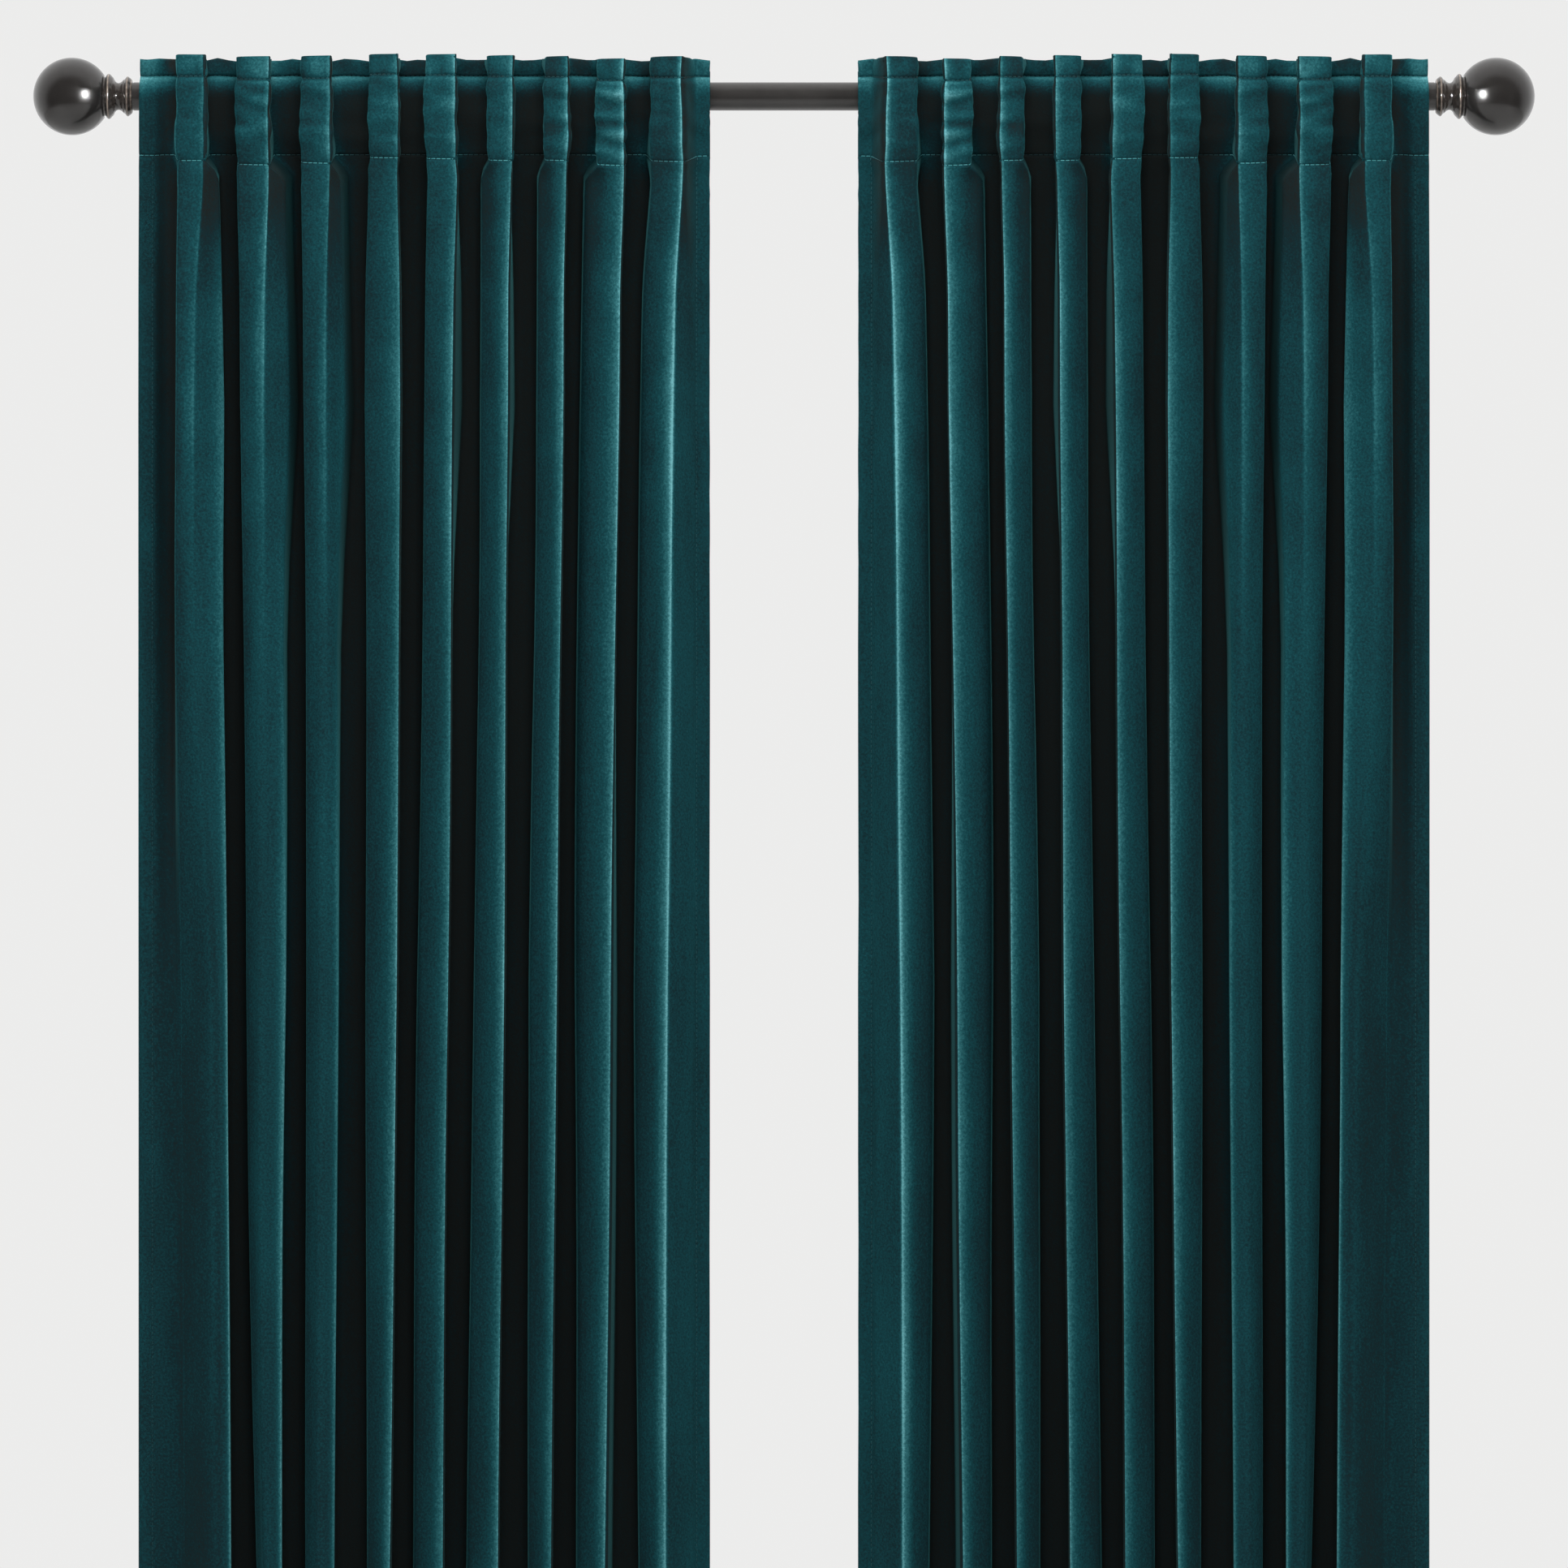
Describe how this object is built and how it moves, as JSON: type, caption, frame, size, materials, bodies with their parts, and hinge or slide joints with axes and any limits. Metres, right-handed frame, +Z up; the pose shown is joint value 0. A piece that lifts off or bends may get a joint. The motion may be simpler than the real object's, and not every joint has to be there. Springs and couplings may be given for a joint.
{
  "type": "window curtains on a rod",
  "caption": "Pair of velvet back-tab curtain panels in upright folds on a telescoping metal rod with ball finials and open wall brackets.",
  "frame": {"origin": "on the wall plane, midway between the two panels, level with the rod's axis", "axes": "+Z up, +X along the rod to the viewer's right, +Y into the wall"},
  "size_m": [1.3538, 0.1505, 2.134],
  "materials": {
    "velvet": "matt teal velvet with a pile sheen",
    "tab_cloth": "matt teal velvet strap, sewn flat",
    "rod_bronze": "satin dark bronze",
    "finial_bronze": "satin dark bronze with rubbed edges",
    "bracket_bronze": "satin dark bronze",
    "stud_steel": "zinc plated thread",
    "screw_steel": "dark plated steel",
    "glide_plastic": "black nylon"
  },
  "bodies": {
    "wall": {"left_bracket_plate": "bracket_bronze", "left_bracket_arm": "bracket_bronze", "left_bracket_cradle": "bracket_bronze", "right_bracket_plate": "bracket_bronze", "right_bracket_arm": "bracket_bronze", "right_bracket_cradle": "bracket_bronze"},
    "left_clamp": {"left_bracket_clamp_screw": "screw_steel"},
    "right_clamp": {"right_bracket_clamp_screw": "screw_steel"},
    "rod": {"rod_outer_tube": "rod_bronze", "left_end_plug": "rod_bronze", "left_back_tab_1": "tab_cloth", "right_back_tab_1": "tab_cloth"},
    "rod_inner": {"rod_inner_tube": "rod_bronze", "rod_glide_bush": "glide_plastic", "right_end_cap": "rod_bronze"},
    "left_finial": {"left_finial_ball": "finial_bronze", "left_finial_neck": "finial_bronze", "left_finial_stud": "stud_steel"},
    "right_finial": {"right_finial_ball": "finial_bronze", "right_finial_neck": "finial_bronze", "right_finial_stud": "stud_steel"},
    "left_leading_edge": {"left_back_tab_10": "tab_cloth"},
    "left_fold_1": {"left_panel_fold_1": "velvet"},
    "left_fold_2": {"left_panel_fold_2": "velvet"},
    "left_fold_3": {"left_panel_fold_3": "velvet"},
    "left_fold_4": {"left_panel_fold_4": "velvet"},
    "left_fold_5": {"left_panel_fold_5": "velvet"},
    "left_fold_6": {"left_panel_fold_6": "velvet"},
    "left_fold_7": {"left_panel_fold_7": "velvet"},
    "left_fold_8": {"left_panel_fold_8": "velvet"},
    "left_fold_9": {"left_panel_fold_9": "velvet"},
    "left_tab_2": {"left_back_tab_2": "tab_cloth"},
    "left_tab_3": {"left_back_tab_3": "tab_cloth"},
    "left_tab_4": {"left_back_tab_4": "tab_cloth"},
    "left_tab_5": {"left_back_tab_5": "tab_cloth"},
    "left_tab_6": {"left_back_tab_6": "tab_cloth"},
    "left_tab_7": {"left_back_tab_7": "tab_cloth"},
    "left_tab_8": {"left_back_tab_8": "tab_cloth"},
    "left_tab_9": {"left_back_tab_9": "tab_cloth"},
    "right_leading_edge": {"right_back_tab_10": "tab_cloth"},
    "right_fold_1": {"right_panel_fold_1": "velvet"},
    "right_fold_2": {"right_panel_fold_2": "velvet"},
    "right_fold_3": {"right_panel_fold_3": "velvet"},
    "right_fold_4": {"right_panel_fold_4": "velvet"},
    "right_fold_5": {"right_panel_fold_5": "velvet"},
    "right_fold_6": {"right_panel_fold_6": "velvet"},
    "right_fold_7": {"right_panel_fold_7": "velvet"},
    "right_fold_8": {"right_panel_fold_8": "velvet"},
    "right_fold_9": {"right_panel_fold_9": "velvet"},
    "right_tab_2": {"right_back_tab_2": "tab_cloth"},
    "right_tab_3": {"right_back_tab_3": "tab_cloth"},
    "right_tab_4": {"right_back_tab_4": "tab_cloth"},
    "right_tab_5": {"right_back_tab_5": "tab_cloth"},
    "right_tab_6": {"right_back_tab_6": "tab_cloth"},
    "right_tab_7": {"right_back_tab_7": "tab_cloth"},
    "right_tab_8": {"right_back_tab_8": "tab_cloth"},
    "right_tab_9": {"right_back_tab_9": "tab_cloth"}
  },
  "joints": [
    {"name": "rod_lift", "type": "slide", "parent": "wall", "child": "rod", "axis": [0, 0, 1], "range_m": [0, 0.04]},
    {"name": "rod_extend", "type": "slide", "parent": "rod", "child": "rod_inner", "axis": [1, 0, 0], "range_m": [0, 0.045]},
    {"name": "left_clamp_release", "type": "slide", "parent": "wall", "child": "left_clamp", "axis": [0, 0, -1], "range_m": [0, 0.006]},
    {"name": "right_clamp_release", "type": "slide", "parent": "wall", "child": "right_clamp", "axis": [0, 0, -1], "range_m": [0, 0.006]},
    {"name": "left_finial_pull", "type": "slide", "parent": "rod", "child": "left_finial", "axis": [-1, 0, 0], "range_m": [0, 0.016]},
    {"name": "right_finial_pull", "type": "slide", "parent": "rod_inner", "child": "right_finial", "axis": [1, 0, 0], "range_m": [0, 0.016]},
    {"name": "left_curtain_draw", "type": "slide", "parent": "rod", "child": "left_leading_edge", "axis": [1, 0, 0], "range_m": [-0.17, 0.066]},
    {"name": "left_fold_1_slide", "type": "slide", "parent": "rod", "child": "left_fold_1", "axis": [1, 0, 0], "range_m": [-0.004, 0.0018]},
    {"name": "left_fold_2_slide", "type": "slide", "parent": "rod", "child": "left_fold_2", "axis": [1, 0, 0], "range_m": [-0.0174, 0.007]},
    {"name": "left_fold_3_slide", "type": "slide", "parent": "rod", "child": "left_fold_3", "axis": [1, 0, 0], "range_m": [-0.0385, 0.0153]},
    {"name": "left_fold_4_slide", "type": "slide", "parent": "rod", "child": "left_fold_4", "axis": [1, 0, 0], "range_m": [-0.0668, 0.0262]},
    {"name": "left_fold_5_slide", "type": "slide", "parent": "rod", "child": "left_fold_5", "axis": [1, 0, 0], "range_m": [-0.0919, 0.036]},
    {"name": "left_fold_6_slide", "type": "slide", "parent": "rod", "child": "left_fold_6", "axis": [1, 0, 0], "range_m": [-0.1174, 0.0459]},
    {"name": "left_fold_7_slide", "type": "slide", "parent": "rod", "child": "left_fold_7", "axis": [1, 0, 0], "range_m": [-0.1394, 0.0544]},
    {"name": "left_fold_8_slide", "type": "slide", "parent": "rod", "child": "left_fold_8", "axis": [1, 0, 0], "range_m": [-0.1563, 0.061]},
    {"name": "left_fold_9_slide", "type": "slide", "parent": "rod", "child": "left_fold_9", "axis": [1, 0, 0], "range_m": [-0.1676, 0.0654]},
    {"name": "left_tab_2_slide", "type": "slide", "parent": "rod", "child": "left_tab_2", "axis": [1, 0, 0], "range_m": [-0.0096, 0.004]},
    {"name": "left_tab_3_slide", "type": "slide", "parent": "rod", "child": "left_tab_3", "axis": [1, 0, 0], "range_m": [-0.0272, 0.0108]},
    {"name": "left_tab_4_slide", "type": "slide", "parent": "rod", "child": "left_tab_4", "axis": [1, 0, 0], "range_m": [-0.0521, 0.0206]},
    {"name": "left_tab_5_slide", "type": "slide", "parent": "rod", "child": "left_tab_5", "axis": [1, 0, 0], "range_m": [-0.0793, 0.0311]},
    {"name": "left_tab_6_slide", "type": "slide", "parent": "rod", "child": "left_tab_6", "axis": [1, 0, 0], "range_m": [-0.1049, 0.041]},
    {"name": "left_tab_7_slide", "type": "slide", "parent": "rod", "child": "left_tab_7", "axis": [1, 0, 0], "range_m": [-0.1289, 0.0503]},
    {"name": "left_tab_8_slide", "type": "slide", "parent": "rod", "child": "left_tab_8", "axis": [1, 0, 0], "range_m": [-0.1485, 0.0579]},
    {"name": "left_tab_9_slide", "type": "slide", "parent": "rod", "child": "left_tab_9", "axis": [1, 0, 0], "range_m": [-0.1629, 0.0636]},
    {"name": "right_curtain_draw", "type": "slide", "parent": "rod", "child": "right_leading_edge", "axis": [-1, 0, 0], "range_m": [-0.17, 0.066]},
    {"name": "right_fold_1_slide", "type": "slide", "parent": "rod", "child": "right_fold_1", "axis": [-1, 0, 0], "range_m": [-0.004, 0.0018]},
    {"name": "right_fold_2_slide", "type": "slide", "parent": "rod", "child": "right_fold_2", "axis": [-1, 0, 0], "range_m": [-0.0174, 0.007]},
    {"name": "right_fold_3_slide", "type": "slide", "parent": "rod", "child": "right_fold_3", "axis": [-1, 0, 0], "range_m": [-0.0385, 0.0153]},
    {"name": "right_fold_4_slide", "type": "slide", "parent": "rod", "child": "right_fold_4", "axis": [-1, 0, 0], "range_m": [-0.0668, 0.0262]},
    {"name": "right_fold_5_slide", "type": "slide", "parent": "rod", "child": "right_fold_5", "axis": [-1, 0, 0], "range_m": [-0.0919, 0.036]},
    {"name": "right_fold_6_slide", "type": "slide", "parent": "rod", "child": "right_fold_6", "axis": [-1, 0, 0], "range_m": [-0.1174, 0.0459]},
    {"name": "right_fold_7_slide", "type": "slide", "parent": "rod", "child": "right_fold_7", "axis": [-1, 0, 0], "range_m": [-0.1394, 0.0544]},
    {"name": "right_fold_8_slide", "type": "slide", "parent": "rod", "child": "right_fold_8", "axis": [-1, 0, 0], "range_m": [-0.1563, 0.061]},
    {"name": "right_fold_9_slide", "type": "slide", "parent": "rod", "child": "right_fold_9", "axis": [-1, 0, 0], "range_m": [-0.1676, 0.0654]},
    {"name": "right_tab_2_slide", "type": "slide", "parent": "rod", "child": "right_tab_2", "axis": [-1, 0, 0], "range_m": [-0.0096, 0.004]},
    {"name": "right_tab_3_slide", "type": "slide", "parent": "rod", "child": "right_tab_3", "axis": [-1, 0, 0], "range_m": [-0.0272, 0.0108]},
    {"name": "right_tab_4_slide", "type": "slide", "parent": "rod", "child": "right_tab_4", "axis": [-1, 0, 0], "range_m": [-0.0521, 0.0206]},
    {"name": "right_tab_5_slide", "type": "slide", "parent": "rod", "child": "right_tab_5", "axis": [-1, 0, 0], "range_m": [-0.0793, 0.0311]},
    {"name": "right_tab_6_slide", "type": "slide", "parent": "rod", "child": "right_tab_6", "axis": [-1, 0, 0], "range_m": [-0.1049, 0.041]},
    {"name": "right_tab_7_slide", "type": "slide", "parent": "rod", "child": "right_tab_7", "axis": [-1, 0, 0], "range_m": [-0.1289, 0.0503]},
    {"name": "right_tab_8_slide", "type": "slide", "parent": "rod", "child": "right_tab_8", "axis": [-1, 0, 0], "range_m": [-0.1485, 0.0579]},
    {"name": "right_tab_9_slide", "type": "slide", "parent": "rod", "child": "right_tab_9", "axis": [-1, 0, 0], "range_m": [-0.1629, 0.0636]}
  ],
  "couplings": [
    {"joint": "left_fold_1_slide", "follows": "left_curtain_draw", "ratio": 0.0204},
    {"joint": "left_fold_2_slide", "follows": "left_curtain_draw", "ratio": 0.0992},
    {"joint": "left_fold_3_slide", "follows": "left_curtain_draw", "ratio": 0.2236},
    {"joint": "left_fold_4_slide", "follows": "left_curtain_draw", "ratio": 0.3898},
    {"joint": "left_fold_5_slide", "follows": "left_curtain_draw", "ratio": 0.5375},
    {"joint": "left_fold_6_slide", "follows": "left_curtain_draw", "ratio": 0.6878},
    {"joint": "left_fold_7_slide", "follows": "left_curtain_draw", "ratio": 0.8171},
    {"joint": "left_fold_8_slide", "follows": "left_curtain_draw", "ratio": 0.9162},
    {"joint": "left_fold_9_slide", "follows": "left_curtain_draw", "ratio": 0.9831},
    {"joint": "left_tab_2_slide", "follows": "left_curtain_draw", "ratio": 0.0533},
    {"joint": "left_tab_3_slide", "follows": "left_curtain_draw", "ratio": 0.1568},
    {"joint": "left_tab_4_slide", "follows": "left_curtain_draw", "ratio": 0.3038},
    {"joint": "left_tab_5_slide", "follows": "left_curtain_draw", "ratio": 0.4633},
    {"joint": "left_tab_6_slide", "follows": "left_curtain_draw", "ratio": 0.6139},
    {"joint": "left_tab_7_slide", "follows": "left_curtain_draw", "ratio": 0.7551},
    {"joint": "left_tab_8_slide", "follows": "left_curtain_draw", "ratio": 0.8704},
    {"joint": "left_tab_9_slide", "follows": "left_curtain_draw", "ratio": 0.9554},
    {"joint": "right_fold_1_slide", "follows": "right_curtain_draw", "ratio": 0.0204},
    {"joint": "right_fold_2_slide", "follows": "right_curtain_draw", "ratio": 0.0992},
    {"joint": "right_fold_3_slide", "follows": "right_curtain_draw", "ratio": 0.2236},
    {"joint": "right_fold_4_slide", "follows": "right_curtain_draw", "ratio": 0.3898},
    {"joint": "right_fold_5_slide", "follows": "right_curtain_draw", "ratio": 0.5375},
    {"joint": "right_fold_6_slide", "follows": "right_curtain_draw", "ratio": 0.6878},
    {"joint": "right_fold_7_slide", "follows": "right_curtain_draw", "ratio": 0.8171},
    {"joint": "right_fold_8_slide", "follows": "right_curtain_draw", "ratio": 0.9162},
    {"joint": "right_fold_9_slide", "follows": "right_curtain_draw", "ratio": 0.9831},
    {"joint": "right_tab_2_slide", "follows": "right_curtain_draw", "ratio": 0.0533},
    {"joint": "right_tab_3_slide", "follows": "right_curtain_draw", "ratio": 0.1568},
    {"joint": "right_tab_4_slide", "follows": "right_curtain_draw", "ratio": 0.3038},
    {"joint": "right_tab_5_slide", "follows": "right_curtain_draw", "ratio": 0.4633},
    {"joint": "right_tab_6_slide", "follows": "right_curtain_draw", "ratio": 0.6139},
    {"joint": "right_tab_7_slide", "follows": "right_curtain_draw", "ratio": 0.7551},
    {"joint": "right_tab_8_slide", "follows": "right_curtain_draw", "ratio": 0.8704},
    {"joint": "right_tab_9_slide", "follows": "right_curtain_draw", "ratio": 0.9554}
  ]
}
